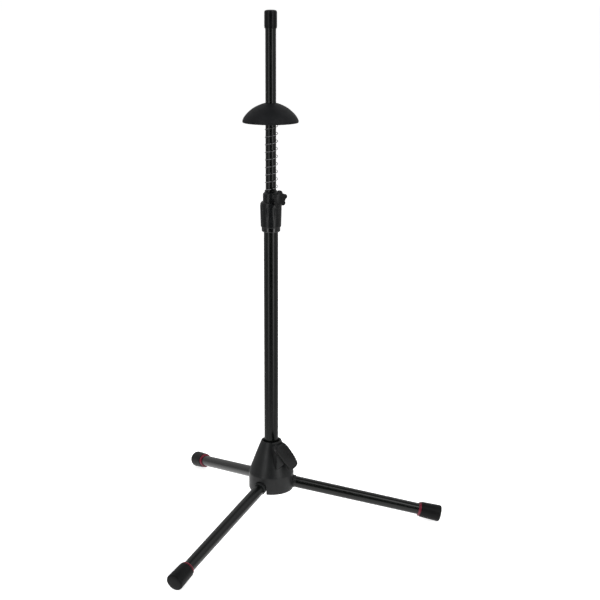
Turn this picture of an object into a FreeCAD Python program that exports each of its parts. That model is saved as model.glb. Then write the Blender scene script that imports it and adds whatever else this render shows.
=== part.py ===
import FreeCAD, Part
import math
import os
import Sketcher

# Folding tripod stand for a slide brass instrument: a three-legged base, a two-piece
# telescopic post and a sprung bell cone.  Origin on the post axis at floor level, +Z up,
# one leg along +X and the others at 120 and 240 degrees.  Millimetres and degrees.

Vector, Rotation, Placement = FreeCAD.Vector, FreeCAD.Rotation, FreeCAD.Placement

doc = FreeCAD.newDocument("BrassStand")
sheet = doc.addObject("Spreadsheet::Sheet", "Dims")


# ---------------------------------------------------------------- sizes on the sheet
class Dim:
    """A size: its value now, and the text that computes it from the sheet."""

    def __init__(self, value, text):
        self.value, self.text = float(value), text

    def join(self, mark, other, work):
        other = dim(other)
        text = "(%s %s %s)" % (self.text, mark, other.text)
        return Dim(work(self.value, other.value), text)

    def __add__(self, other):
        return self.join("+", other, lambda x, y: x + y)

    def __sub__(self, other):
        return self.join("-", other, lambda x, y: x - y)

    def __mul__(self, other):
        return self.join("*", other, lambda x, y: x * y)

    def __truediv__(self, other):
        return self.join("/", other, lambda x, y: x / y)

    def __neg__(self):
        return Dim(-self.value, "(0 - %s)" % self.text)


def dim(number):
    """Any plain number as a Dim; a Dim is passed through."""
    return number if isinstance(number, Dim) else Dim(number, repr(float(number)))


aliases = []


def size(alias, value, note):
    """One row of the sheet: note, value and alias."""
    aliases.append(alias)
    row = len(aliases)
    sheet.set("A%d" % row, note)
    sheet.set("B%d" % row, repr(float(value)))
    sheet.setAlias("B%d" % row, alias)
    return Dim(value, "Dims." + alias)


# In the names below _r is a radius, _z a height, _dir a direction round the post.
tube_r = size("tube_radius", 11.0, "lower post tube, outer radius")
tube_bore = size("tube_bore", 9.9, "lower post tube, inner radius")
rod_r = size("rod_radius", 8.0, "upper rod, outer radius")
rod_bore = size("rod_bore", 6.9, "upper rod, inner radius")
slip = size("slip", 0.06, "radial clearance of sliding fits")
hub_z = size("hub_bottom", 60.9, "hub sleeve datum, height")
skirt_drop = size("skirt_drop", 1.5, "hub skirt, reach of its lower edge below the sleeve datum")
hub_top = size("hub_top", 140.0, "hub rim, height")
skirt_r = size("skirt_radius", 35.8, "hub skirt, outer radius")
skirt_top = size("skirt_top", 87.5, "height where the skirt meets the cone")
sleeve_in = size("sleeve_bore", 12.6, "hub centre sleeve, inner radius")
sleeve_out = size("sleeve_radius", 15.6, "hub centre sleeve, outer radius")
meet_z = size("leg_meet", 77.2, "height where the three leg axes meet on the post axis")
leg_slope = size("leg_slope", 13.41, "leg slope below the horizontal")
pivot_r = size("pivot_offset", 24.0, "leg pivot, distance from the post axis")
pivot_z = size("pivot_height", 71.48, "leg pivot, height")
pivot_run = size("pivot_run", 24.67, "leg pivot, distance along the leg from the meeting point")
pin_r = size("pin_radius", 3.0, "leg pivot pin, radius")
ear_in = size("ear_inner", 6.2, "half the gap between a pair of pivot ears")
ear_out = size("ear_outer", 9.2, "half the width over a pair of pivot ears")
arch_r = size("arch_radius", 10.55, "leg arch in the skirt, radius")
arch_z = size("arch_height", 68.98, "leg arch centre, height")
leg_r = size("leg_radius", 9.1, "leg tube, outer radius")
leg_bore = size("leg_bore", 8.1, "leg tube, inner radius")
collar_r = size("collar_radius", 10.3, "leg knuckle collar, radius")
leg_end = size("leg_end", 278.0, "leg tube end, distance from the meeting point")
foot_in = size("foot_start", 248.5, "foot cap, inner end from the meeting point")
foot_out = size("foot_end", 281.5, "foot cap, outer end from the meeting point")
foot_in_r = size("foot_radius_inner", 12.25, "foot cap radius at its inner end")
foot_out_r = size("foot_radius_outer", 13.25, "foot cap radius at its outer end")
ring_in = size("ring_start", 244.5, "coloured ring, inner end from the meeting point")
clamp_z = size("clamp_height", 126.5, "hub clamp screw, height")
clamp_dir = size("clamp_azimuth", -60.0, "hub clamp screw, direction round the post")
screw_r = size("screw_radius", 3.0, "hub clamp screw, radius")
boss_face = size("boss_face", 32.5, "hub clamp boss, distance of its face from the post axis")
tube_bot = size("tube_bottom", 65.8, "lower post tube, bottom height")
tube_top = size("tube_top", 518.5, "lower post tube, top height")
trim_z = size("trim_bottom", 478.2, "clutch trim ring, bottom height")
grip_z = size("grip_bottom", 484.9, "clutch grip, bottom height")
grip_top = size("grip_top", 524.2, "clutch grip, top height")
grip_r = size("grip_radius", 16.65, "clutch grip, radius at the top")
neck_r = size("neck_radius", 12.25, "clutch neck, radius")
neck_top = size("neck_top", 539.0, "clutch neck, top height")
knob_z = size("knob_height", 532.0, "star knob axis, height")
knob_dir = size("knob_azimuth", -56.7, "star knob, direction round the post")
stud_r = size("stud_radius", 2.5, "star knob stud, radius")
rod_bot = size("rod_bottom", 238.0, "upper rod, bottom height")
rod_top = size("rod_top", 802.0, "upper rod, top height")
cap_z = size("cap_bottom", 780.4, "rod end cap, bottom height")
cap_top = size("cap_top", 807.1, "rod end cap, top height")
cap_r = size("cap_radius", 9.45, "rod end cap, radius")
stop_z = size("stop_bottom", 539.6, "spring stop washer, bottom height")
stop_thick = size("stop_thickness", 1.4, "spring stop washer, thickness")
coil_r = size("coil_radius", 9.6, "cone spring, mean coil radius")
wire_r = size("wire_radius", 0.55, "cone spring, wire radius")
coil_pitch = size("coil_pitch", 11.4, "cone spring, pitch")
coil_top = size("coil_top", 651.0, "cone spring, top height")
cone_z = size("cone_bottom", 643.5, "bell cone, rim height")
cone_r = size("cone_radius", 41.9, "bell cone, rim radius")
cone_top = size("cone_top", 672.2, "bell cone, top height")


# ---------------------------------------------------------------- sketches
def new_body(label):
    return doc.addObject("PartDesign::Body", label)


def datum(body, role):
    """The body's own origin plane or axis of that role."""
    return next(f for f in body.Origin.OriginFeatures if f.Role == role)


def drive(obj, prop, value):
    """Set a property and bind it to the sheet."""
    value = dim(value)
    setattr(obj, prop, value.value)
    obj.setExpression(prop, value.text)


def sketch_on(body, name, plane, lift=0, turn=0):
    """A sketch on an origin plane, turned about its own Y and lifted along its new normal."""
    sketch = body.newObject("Sketcher::SketchObject", name)
    sketch.AttachmentSupport = [(datum(body, plane), "")]
    sketch.MapMode = "FlatFace"
    rotation = Rotation(Vector(0, 1, 0), dim(turn).value)
    offset = rotation.multVec(Vector(0, 0, dim(lift).value))
    sketch.AttachmentOffset = Placement(offset, rotation)
    return sketch


def pin_point(sketch, geometry, point, x, y):
    """Hold a point at x, y from the sketch origin, both driven by the sheet."""
    for kind, value, axis in (("DistanceX", x, -2), ("DistanceY", y, -1)):
        if abs(value.value) < 1e-9:
            sketch.addConstraint(Sketcher.Constraint("PointOnObject", geometry, point, axis))
            continue
        # distances stay positive: a negative one is measured from the point to the origin
        if value.value > 0:
            ends = (-1, 1, geometry, point)
        else:
            value = -value
            ends = (geometry, point, -1, 1)
        index = sketch.addConstraint(Sketcher.Constraint(kind, *ends, value.value))
        sketch.setExpression("Constraints[%d]" % index, value.text)


def outline_on(body, name, plane, points, lift=0, turn=0):
    """A sketch of one closed outline of straight edges through the points."""
    sketch = sketch_on(body, name, plane, lift, turn)
    corners = [(dim(x), dim(y)) for x, y in points]
    count = len(corners)
    for i, (x, y) in enumerate(corners):
        next_x, next_y = corners[(i + 1) % count]
        start, end = Vector(x.value, y.value, 0), Vector(next_x.value, next_y.value, 0)
        sketch.addGeometry(Part.LineSegment(start, end), False)
    for i in range(count):
        sketch.addConstraint(Sketcher.Constraint("Coincident", i, 2, (i + 1) % count, 1))
    for i, (x, y) in enumerate(corners):
        pin_point(sketch, i, 1, x, y)
    return sketch


def circles_on(body, name, plane, centre, radii, lift=0, turn=0):
    """A sketch of circles round one centre."""
    sketch = sketch_on(body, name, plane, lift, turn)
    x, y = dim(centre[0]), dim(centre[1])
    for radius in map(dim, radii):
        circle = Part.Circle(Vector(x.value, y.value, 0), Vector(0, 0, 1), radius.value)
        geometry = sketch.addGeometry(circle, False)
        pin_point(sketch, geometry, 3, x, y)
        index = sketch.addConstraint(Sketcher.Constraint("Radius", geometry, radius.value))
        sketch.setExpression("Constraints[%d]" % index, radius.text)
    return sketch


# ---------------------------------------------------------------- features
def revolve(body, sketch, axis, name):
    feature = body.newObject("PartDesign::Revolution", name)
    feature.Profile = sketch
    feature.ReferenceAxis = (sketch, [axis])
    feature.Angle = 360.0
    doc.recompute()
    return feature


def revolve_outline(body, name, points, axis="V_Axis"):
    """Turn an outline in the XZ plane about Z, or about X with axis H_Axis."""
    revolve(body, outline_on(body, name, "XZ_Plane", points), axis, body.Label + "_turned")


def pad(body, sketch, length, name, midplane=False):
    feature = body.newObject("PartDesign::Pad", name)
    feature.Profile = sketch
    drive(feature, "Length", length)
    if midplane:
        feature.SideType = "Symmetric"
    doc.recompute()
    return feature


def pocket(body, sketch, length, name, reverse=False):
    """Cut against the sketch normal, or along it when reversed."""
    doc.recompute()
    before = body.Shape.Volume
    feature = body.newObject("PartDesign::Pocket", name)
    feature.Profile = sketch
    drive(feature, "Length", length)
    feature.Reversed = reverse
    doc.recompute()
    if not body.Shape.Volume < before - 0.1:
        raise RuntimeError(name + " removed nothing")
    return feature


def around(body, feature, count, name):
    """Repeat a feature round the body's Z axis."""
    pattern = body.newObject("PartDesign::PolarPattern", name)
    pattern.Originals = [feature]
    pattern.Axis = (datum(body, "Z_Axis"), [""])
    pattern.Angle = 360.0
    pattern.Occurrences = count
    body.Tip = pattern
    doc.recompute()


# ---------------------------------------------------------------- placing
def place(obj, height, rotation=Rotation()):
    """Put the local origin on the post axis at a height."""
    obj.Placement = Placement(Vector(0, 0, height.value), rotation)
    obj.setExpression("Placement.Base.z", height.text)


def place_radial(obj, azimuth, height, spin=0.0):
    """Local +Z points away from the post; local +X is horizontal before the spin about +Z."""
    angle = math.radians(azimuth.value)
    out = Vector(math.cos(angle), math.sin(angle), 0)
    side = Vector(-math.sin(angle), math.cos(angle), 0)
    rotation = Rotation(side, out.cross(side), out, "ZXY")
    place(obj, height, rotation.multiply(Rotation(Vector(0, 0, 1), spin)))


def place_on_leg(obj, azimuth):
    """Local +X runs down the leg from the meeting point of the three leg axes."""
    rotation = Rotation(Vector(0, 0, 1), azimuth)
    place(obj, meet_z, rotation.multiply(Rotation(Vector(0, 1, 0), leg_slope.value)))


def turned(label, base, points):
    """A body turned about the post axis, its local origin at height base.

    Points are (radius, height); a Dim height counts from the floor, a plain one from base.
    """
    body = new_body(label)
    local = [(r, z - base if isinstance(z, Dim) else z) for r, z in points]
    revolve_outline(body, label + "_profile", local)
    place(body, base)
    return body


nodes = []

# ---------------------------------------------------------------- hub
# Heights in the hub's outlines count from hub_z.
hub_rim = hub_top - hub_z
cone_foot = skirt_top - hub_z
skirt_in = skirt_r - 2.5
boss_start = 16.5
# brass insert in the clamp boss, start measured from the post axis
clamp_insert_start = 17.0
clamp_insert_length = 11.0
clamp_insert_r = 4.5


def hub_shell(hub):
    """Moulded cone over a short skirt, hollow below, with a centre sleeve for the post."""
    revolve_outline(hub, "hub_profile", [
        # outside, upward
        (skirt_r - 0.8, -skirt_drop), (skirt_r, -0.3),
        (skirt_r, cone_foot - 1.6), (skirt_r - 0.35, cone_foot),
        (32.7, 35.2), (29.4, 43.9), (26.2, 52.5), (22.9, 61.1), (19.6, 69.6),
        (16.5, 77.3), (15.95, 78.7), (15.5, hub_rim),
        # sleeve, then the hollow under the cone
        (14.7, hub_rim), (sleeve_in, hub_rim - 2.6), (sleeve_in, 0.8),
        (sleeve_out, 0.8), (sleeve_out, 50.1),
        (24.0, 50.1), (skirt_in, 26.1), (skirt_in, -skirt_drop),
    ])


def hub_ears(hub):
    """A block over each leg root, slotted into a pair of pivot ears."""
    block = outline_on(hub, "ear_outline", "XZ_Plane", [
        (13.0, 1.9), (pivot_r, 1.9), (pivot_r + 4.6, 3.0), (pivot_r + 7.8, 6.0),
        (pivot_r + 9.0, pivot_z - hub_z), (pivot_r + 6.5, 33.5), (13.0, 33.5),
    ])
    around(hub, pad(hub, block, ear_out * 2, "ear_block", midplane=True), 3, "ear_blocks")
    # the gap runs from one ear's inner face to the other's
    gap = outline_on(hub, "ear_gap_outline", "XZ_Plane", [
        (sleeve_out - 0.02, -3.0), (skirt_r + 6.0, -3.0), (skirt_r + 6.0, 14.0),
        (skirt_r - 2.6, 14.0), (pivot_r + 8.0, 24.0), (sleeve_out + 4.0, 24.0),
        (sleeve_out - 0.02, 20.0),
    ], lift=ear_in)
    around(hub, pocket(hub, gap, ear_in * 2, "ear_gap"), 3, "ear_gaps")


def hub_arches(hub):
    """A round-topped arch in the skirt for each leg, cut outward."""
    right_side = []
    # angle up the arch, extra height of that point
    for degrees, extra in ((0, 0), (20, 0), (40, 0), (60, 0), (80, 0.1)):
        angle = math.radians(degrees)
        height = arch_z - hub_z + arch_r * math.sin(angle) + extra
        right_side.append((arch_r * math.cos(angle), height))
    left_side = [(-x, z) for x, z in reversed(right_side)]
    points = [(-arch_r, -3.0), (arch_r, -3.0)] + right_side + left_side
    sketch = outline_on(hub, "arch_outline", "YZ_Plane", points, lift=30.0)
    around(hub, pocket(hub, sketch, 12.0, "leg_arch", reverse=True), 3, "leg_arches")


def hub_pin_bores(hub):
    """The pivot pin's bore through each pair of ears."""
    sketch = circles_on(hub, "pin_bore_outline", "XZ_Plane", (pivot_r, pivot_z - hub_z),
                        [pin_r], lift=ear_out + 1.0)
    around(hub, pocket(hub, sketch, ear_out * 2 + 2.0, "pin_bore"), 3, "pin_bores")


def hub_clamp_boss(hub):
    """A wedge-shaped boss between two legs, bored for the screw and its insert."""
    boss = outline_on(hub, "boss_outline", "YZ_Plane", [
        (-8.2, 72.6), (-9.4, 40.6), (-8.0, 39.8), (6.0, 47.0),
        (9.0, 50.0), (9.4, 72.6), (7.0, 74.8), (-5.8, 74.8),
    ], lift=boss_start, turn=clamp_dir)
    pad(hub, boss, boss_face - boss_start, "clamp_boss")
    centre = (0, clamp_z - hub_z)
    hole_start = boss_face + 1.0
    hole_end = 11.9
    hole = circles_on(hub, "screw_hole_outline", "YZ_Plane", centre, [screw_r + 0.25],
                      lift=hole_start, turn=clamp_dir)
    pocket(hub, hole, hole_start - hole_end, "screw_hole")
    seat = circles_on(hub, "insert_seat_outline", "YZ_Plane", centre, [clamp_insert_r],
                      lift=clamp_insert_start + clamp_insert_length, turn=clamp_dir)
    pocket(hub, seat, clamp_insert_length, "insert_seat")


def hub_housing():
    hub = new_body("hub_housing")
    for build in (hub_shell, hub_ears, hub_arches, hub_pin_bores, hub_clamp_boss):
        build(hub)
    place(hub, hub_z)
    return hub


def leg_pivot_pins():
    """Three steel pivot pins in one group."""
    cylinders = []
    for k in range(3):
        start = Vector(pivot_r.value, -ear_out.value, 0)
        pin = Part.makeCylinder(pin_r.value, 2 * ear_out.value, start, Vector(0, 1, 0))
        pin.rotate(Vector(0, 0, 0), Vector(0, 0, 1), 120 * k)
        cylinders.append(pin)
    pins = doc.addObject("Part::Feature", "leg_pivot_pins")
    pins.Shape = Part.makeCompound(cylinders)
    place(pins, pivot_z)
    return pins


def insert_sleeve(label, start, length, radii, azimuth, height):
    """Threaded brass insert: a plain sleeve on a radial axis."""
    insert = new_body(label)
    sketch = circles_on(insert, label + "_outline", "XY_Plane", (0, 0), radii, lift=start)
    pad(insert, sketch, length, label + "_pad")
    place_radial(insert, azimuth, height)
    return insert


nodes.append(hub_housing())

# Liner bush pressed in the sleeve; the post slides in it.
liner_r = tube_r + slip
nodes.append(turned("post_bush", hub_z + 5.1, [
    (liner_r, 0.8), (liner_r + 0.8, 0), (sleeve_in, 0),
    (sleeve_in, 53.0), (liner_r + 0.8, 53.0), (liner_r, 52.2),
]))
nodes.append(leg_pivot_pins())
nodes.append(insert_sleeve("clamp_insert", clamp_insert_start, clamp_insert_length,
                           [clamp_insert_r, screw_r + slip], clamp_dir, clamp_z))

# ---------------------------------------------------------------- hub clamp lever
# Distances from the post axis along the screw.
plate_start = 34.2
plate_thick = 7.3
socket_start = boss_face + 0.2
socket_depth = 6.0


def hub_lever():
    """Flat paddle moulded on the head of the clamp screw; local +X runs down the paddle."""
    lever = new_body("hub_lever")
    plate = outline_on(lever, "lever_outline", "XY_Plane", [
        (-20.5, -2.6), (-18.6, -5.2), (-16.0, -6.4), (28.4, -6.4),
        (30.2, -5.4), (31.1, -3.4), (31.8, 4.8), (30.4, 8.8),
        (27.4, 10.8), (18.0, 12.7), (6.0, 13.7), (-7.0, 14.1),
        (-14.4, 13.5), (-18.4, 11.6), (-21.6, 1.4), (-21.8, -0.6),
    ], lift=plate_start)
    pad(lever, plate, plate_thick, "lever_plate")
    # round hub between plate and boss, running a little into the plate
    neck = circles_on(lever, "lever_hub_outline", "XY_Plane", (0, 0), [6.8],
                      lift=boss_face + 0.25)
    pad(lever, neck, 1.55, "lever_hub")
    socket = circles_on(lever, "lever_socket_outline", "XY_Plane", (0, 0), [screw_r],
                        lift=socket_start)
    pocket(lever, socket, socket_depth, "lever_socket", reverse=True)
    # round the rim of the plate's outer face
    face = plate_start + plate_thick
    base = lever.Tip
    rim = [
        "Edge%d" % i for i, edge in enumerate(base.Shape.Edges, 1)
        if edge.Length > 1.0 and all(abs(v.Z - face) < 1e-3 for v in edge.Vertexes)
    ]
    if not rim:
        raise RuntimeError("lever_edge found no edges")
    fillet = lever.newObject("PartDesign::Fillet", "lever_edge")
    fillet.Base = (base, rim)
    drive(fillet, "Radius", 1.0)
    doc.recompute()
    place_radial(lever, clamp_dir, clamp_z, spin=-54.0)
    return lever


def radial_stud(label, radius, start, bevel, end, azimuth, height):
    """A round stud on a radial axis, bevelled at the end nearest the post."""
    body = new_body(label)
    revolve_outline(body, label + "_profile", [
        (0, start), (radius - bevel, start), (radius, start + bevel), (radius, end), (0, end),
    ])
    place_radial(body, azimuth, height)
    return body


nodes.append(hub_lever())
nodes.append(radial_stud("hub_lever_screw", screw_r, start=tube_r + 0.05, bevel=0.8,
                         end=socket_start + socket_depth, azimuth=clamp_dir, height=clamp_z))

# ---------------------------------------------------------------- legs
# Leg outlines are (distance along the leg from the meeting point, radius).
tube_start = pivot_run + 11.6


def leg_tube(side):
    tube = new_body("leg_tube_" + side)
    revolve_outline(tube, "leg_tube_profile_" + side, [
        (tube_start, leg_bore), (leg_end, leg_bore), (leg_end, leg_r), (tube_start, leg_r),
    ], "H_Axis")
    return tube


def leg_knuckle(side):
    """Pivot eye, collar that closes the arch, and a spigot inside the tube."""
    knuckle = new_body("leg_knuckle_" + side)
    revolve_outline(knuckle, "knuckle_turned_" + side, [
        (pivot_run + 10.0, 0), (pivot_run + 42.0, 0),
        (pivot_run + 42.0, leg_bore - 1.2), (pivot_run + 40.5, leg_bore),
        (tube_start, leg_bore), (tube_start, leg_r),
        (pivot_run + 14.4, leg_r), (pivot_run + 14.4, collar_r - 0.5),
        (pivot_run + 13.9, collar_r), (pivot_run + 10.0, collar_r),
    ], "H_Axis")
    eye_r = 7.0
    eye = [(pivot_run + 10.5, -6.9), (pivot_run + 10.5, 6.9)]
    for degrees in range(100, 261, 20):
        angle = math.radians(degrees)
        eye.append((pivot_run + eye_r * math.cos(angle), eye_r * math.sin(angle)))
    sketch = outline_on(knuckle, "knuckle_eye_" + side, "XZ_Plane", eye)
    pad(knuckle, sketch, (ear_in - 0.2) * 2, "eye_" + side, midplane=True)
    bore = circles_on(knuckle, "eye_bore_" + side, "XZ_Plane", (pivot_run, 0),
                      [pin_r + slip], lift=ear_in + 1.0)
    pocket(knuckle, bore, ear_in * 2 + 2.0, "eye_bore_cut_" + side)
    return knuckle


def foot_ring(side):
    """Coloured ring, a tapered collar behind the foot cap."""
    band = new_body("foot_ring_" + side)
    revolve_outline(band, "foot_ring_profile_" + side, [
        (ring_in, leg_r), (foot_in, leg_r), (foot_in, foot_in_r - 0.3),
        (ring_in + 1.0, foot_in_r - 1.1), (ring_in, leg_r + 0.7),
    ], "H_Axis")
    return band


def foot_cap(side):
    """Rubber foot cap, cut level with the floor on its underside."""
    foot = new_body("foot_cap_" + side)
    revolve_outline(foot, "foot_cap_profile_" + side, [
        (foot_in, leg_r), (leg_end, leg_r), (leg_end, 0), (foot_out + 0.5, 0),
        (foot_out + 0.2, foot_out_r - 5.0), (foot_out, foot_out_r - 2.2),
        (foot_out - 0.7, foot_out_r - 0.7), (foot_out - 2.2, foot_out_r),
        (foot_in + 1.2, foot_in_r), (foot_in + 0.3, foot_in_r - 0.3),
        (foot_in, foot_in_r - 0.9),
    ], "H_Axis")
    # floor line in leg axes: the floor is meet_z below the meeting point
    slope = math.radians(leg_slope.value)
    drop = meet_z / math.cos(slope)
    rise = math.tan(slope)
    far = foot_out + 4.0
    floor_near = foot_in * rise - drop
    floor_far = far * rise - drop
    sole = outline_on(foot, "sole_outline_" + side, "XZ_Plane", [
        (foot_in, floor_near), (foot_in, floor_near - 12.0),
        (far, floor_near - 12.0), (far, floor_far),
    ], lift=20.0)
    pocket(foot, sole, 40.0, "sole_cut_" + side)
    return foot


for side, azimuth in (("right", 0.0), ("rear", 120.0), ("front", 240.0)):
    for build in (leg_tube, leg_knuckle, foot_ring, foot_cap):
        piece = build(side)
        place_on_leg(piece, azimuth)
        nodes.append(piece)

# ---------------------------------------------------------------- post
nodes.append(turned("lower_tube", tube_bot, [
    (tube_bore, 0), (tube_r, 0), (tube_r, tube_top), (tube_bore, tube_top),
]))

# Foot plug with a flange that stops the post against the liner bush.
nodes.append(turned("post_foot_plug", tube_bot - 3.8, [
    (0, 0), (11.6, 0), (12.2, 0.8), (12.2, 3.8),
    (tube_bore, 3.8), (tube_bore, 16.8), (tube_bore - 1.0, 18.8), (0, 18.8),
]))

# Guide bush in the mouth of the lower tube.
rod_slide_r = rod_r + slip
nodes.append(turned("clutch_bush", tube_top - 24.0, [
    (rod_slide_r, 0), (tube_bore, 0), (tube_bore, 24.0), (rod_slide_r, 24.0),
]))

# ---------------------------------------------------------------- clutch
collar_z = grip_z + 1.0
grip_bore = neck_r + 0.4
# brass insert in the knob boss, start measured from the post axis
knob_insert_start = 11.2
knob_insert_r = 3.8


def clutch_collar():
    """Skirt over the tube, neck round the rod, and a side boss for the knob stud."""
    collar = new_body("clutch_collar")
    top = neck_top - collar_z
    tube_end = tube_top - collar_z
    revolve_outline(collar, "collar_profile", [
        (tube_r, 0), (grip_bore, 0), (grip_bore, 34.0), (neck_r, 34.0),
        (neck_r, top - 3.2), (neck_r - 0.5, top - 2.4),
        (rod_r + 1.5, top), (rod_r + 0.8, top), (rod_slide_r, top - 0.8),
        (rod_slide_r, tube_end), (tube_r, tube_end),
    ])
    centre = (0, knob_z - collar_z)
    boss = circles_on(collar, "knob_boss_outline", "YZ_Plane", centre, [5.6],
                      lift=rod_r + 1.2, turn=knob_dir)
    pad(collar, boss, 7.4, "knob_boss")
    hole = circles_on(collar, "stud_hole_outline", "YZ_Plane", centre, [stud_r + 0.2],
                      lift=18.0, turn=knob_dir)
    pocket(collar, hole, 11.0, "stud_hole")
    seat_top = 17.6
    seat = circles_on(collar, "knob_insert_seat_outline", "YZ_Plane", centre,
                      [knob_insert_r], lift=seat_top, turn=knob_dir)
    pocket(collar, seat, seat_top - knob_insert_start, "knob_insert_seat")
    place(collar, collar_z)
    return collar


def clutch_grip():
    """Fluted grip sleeve over the collar."""
    grip = new_body("clutch_grip")
    height = grip_top - grip_z
    revolve_outline(grip, "grip_profile", [
        (grip_bore, 0), (grip_r - 2.0, 0), (grip_r - 1.0, 1.2), (grip_r, 31.6),
        (grip_r - 0.5, 36.2), (grip_r - 1.3, 38.2), (grip_r - 2.8, height),
        (grip_bore, height),
    ])
    sketch = circles_on(grip, "flute_outline", "XY_Plane", (grip_r + 6.35, 0), [7.0],
                        lift=-1.0)
    around(grip, pocket(grip, sketch, 33.0, "flute", reverse=True), 10, "flutes")
    place(grip, grip_z)
    return grip


nodes.append(clutch_collar())
nodes.append(insert_sleeve("knob_insert", knob_insert_start, 5.2,
                           [knob_insert_r, stud_r + slip], knob_dir, knob_z))
nodes.append(clutch_grip())

# Trim ring under the grip.
nodes.append(turned("clutch_ring", trim_z, [
    (tube_r, 0), (13.5, 0), (14.3, 0.8), (14.3, grip_z), (tube_r, grip_z),
]))


# ---------------------------------------------------------------- star knob
def star_knob():
    """Turned hub with five round lobes and a blind socket for the stud."""
    star = new_body("star_knob")
    # radius, distance from the post axis
    revolve_outline(star, "star_hub_profile", [
        (0, 17.6), (5.0, 17.6), (5.4, 21.2), (9.0, 21.8),
        (9.3, 26.8), (8.1, 28.2), (4.4, 28.8), (0, 28.8),
    ])
    # each lobe turns about its own axis, beside the knob's
    lobe_x = 8.7
    sketch = outline_on(star, "star_lobe_profile", "XZ_Plane", [
        (lobe_x, 21.5), (11.7, 21.5), (12.4, 22.2),
        (12.4, 26.6), (11.5, 27.5), (lobe_x, 27.5),
    ])
    axis = Part.LineSegment(Vector(lobe_x, 20.8, 0), Vector(lobe_x, 28.8, 0))
    line = sketch.addGeometry(axis, True)
    sketch.addConstraint(Sketcher.Constraint("Vertical", line))
    around(star, revolve(star, sketch, "Axis0", "star_lobe"), 5, "star_lobes")
    socket = circles_on(star, "star_socket_outline", "XY_Plane", (0, 0), [stud_r], lift=17.0)
    pocket(star, socket, 8.9, "star_socket", reverse=True)
    place_radial(star, knob_dir, knob_z, spin=18.0)
    return star


nodes.append(star_knob())
nodes.append(radial_stud("star_knob_stud", stud_r, start=rod_r + 0.05, bevel=0.7,
                         end=25.8, azimuth=knob_dir, height=knob_z))

# ---------------------------------------------------------------- rod
nodes.append(turned("upper_rod", rod_bot, [
    (rod_bore, 0), (rod_r, 0), (rod_r, rod_top), (rod_bore, rod_top),
]))

# Guide bush on the rod's lower end, sliding in the lower tube.
guide_r = tube_bore - slip
nodes.append(turned("rod_guide_bush", rod_bot - 3.0, [
    (0, 0), (guide_r - 1.0, 0), (guide_r, 1.0), (guide_r, 24.0),
    (guide_r - 0.8, 25.0), (rod_r, 25.0), (rod_r, 3.0), (0, 3.0),
]))

# Domed cap over the rod's upper end.
nodes.append(turned("rod_end_cap", cap_z, [
    (rod_r, 0), (cap_r - 0.6, 0), (cap_r - 0.15, 0.5), (cap_r - 0.25, 1.8),
    (cap_r, 3.2), (cap_r, 21.6), (cap_r - 0.4, 23.6), (cap_r - 1.9, 25.6),
    (cap_r - 4.2, 26.4), (0, cap_top), (0, rod_top), (rod_r, rod_top),
]))

# Washer under the spring.
stop_top = stop_z + stop_thick
nodes.append(turned("spring_stop", stop_z, [
    (rod_r, 0), (9.6, 0), (9.6, stop_top), (rod_r, stop_top),
]))


def cone_spring():
    """Open-wound compression spring of eight-sided wire, standing on the stop washer."""
    helix = doc.addObject("Part::Helix", "spring_helix")
    drive(helix, "Pitch", coil_pitch)
    drive(helix, "Height", coil_top - stop_z - stop_thick - wire_r * 2)
    drive(helix, "Radius", coil_r)
    wire = doc.addObject("Part::RegularPolygon", "spring_wire")
    wire.Polygon = 8
    drive(wire, "Circumradius", wire_r)
    # the section leans by the lead angle
    lead = math.degrees(math.atan2(coil_pitch.value, 2 * math.pi * coil_r.value))
    lean = Rotation(Vector(1, 0, 0), 90 + lead)
    wire.Placement = Placement(Vector(coil_r.value, 0, 0), lean)
    wire.setExpression("Placement.Base.x", coil_r.text)
    doc.recompute()
    spring = doc.addObject("Part::Sweep", "cone_spring")
    spring.Sections = [wire]
    spring.Spine = (helix, [])
    spring.Solid = True
    spring.Frenet = True
    place(spring, stop_top + wire_r)
    return spring


nodes.append(cone_spring())

# ---------------------------------------------------------------- bell cone
bush_r = 10.6
cone_bore = rod_r + 0.4
nodes.append(turned("bell_cone", cone_z, [
    # outside, upward from the rim
    (cone_r - 3.0, 0), (cone_r - 0.9, 0), (cone_r, 0.9), (cone_r - 0.2, 3.7),
    (40.1, 6.7), (38.2, 9.6), (35.8, 12.6), (32.8, 15.5), (29.4, 18.5),
    (25.4, 21.5), (20.2, 24.4), (14.6, 26.9), (11.0, 28.1), (cone_bore, cone_top),
    # bush seat, then the inside of the shell
    (cone_bore, 26.0), (bush_r, 26.0), (bush_r, 2.0), (13.4, 2.0), (13.4, 22.0),
    (18.6, 20.6), (24.6, 17.0), (30.2, 12.4), (34.8, 7.4), (37.2, 3.4),
]))
# Bush in the cone's sleeve, sliding on the rod.
nodes.append(turned("cone_bush", cone_z + 8.2, [
    (rod_slide_r, 0), (bush_r, 0), (bush_r, 17.8), (rod_slide_r, 17.8),
]))

# ---------------------------------------------------------------- check and write
doc.recompute()
for obj in doc.Objects:
    state = list(obj.State)
    if "Invalid" in state or "Error" in state:
        raise RuntimeError("%s failed: %s" % (obj.Name, state))
for obj in nodes:
    shape = obj.Shape
    if shape.isNull() or not shape.isValid() or not shape.Solids:
        raise RuntimeError(obj.Label + " has no valid solid")
    if obj.Label != "leg_pivot_pins" and len(shape.Solids) != 1:
        raise RuntimeError("%s has %d solids" % (obj.Label, len(shape.Solids)))
os.makedirs("parts", exist_ok=True)
for obj in nodes:
    obj.Shape.exportStep("parts/%s.step" % obj.Label)
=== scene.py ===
from math import acos, asin, atan2, ceil, cos, exp, hypot, log, pi, sin, sqrt, tan
from math import radians as rad

import bmesh
import bpy
import numpy as np
from mathutils import Matrix, Vector


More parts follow.
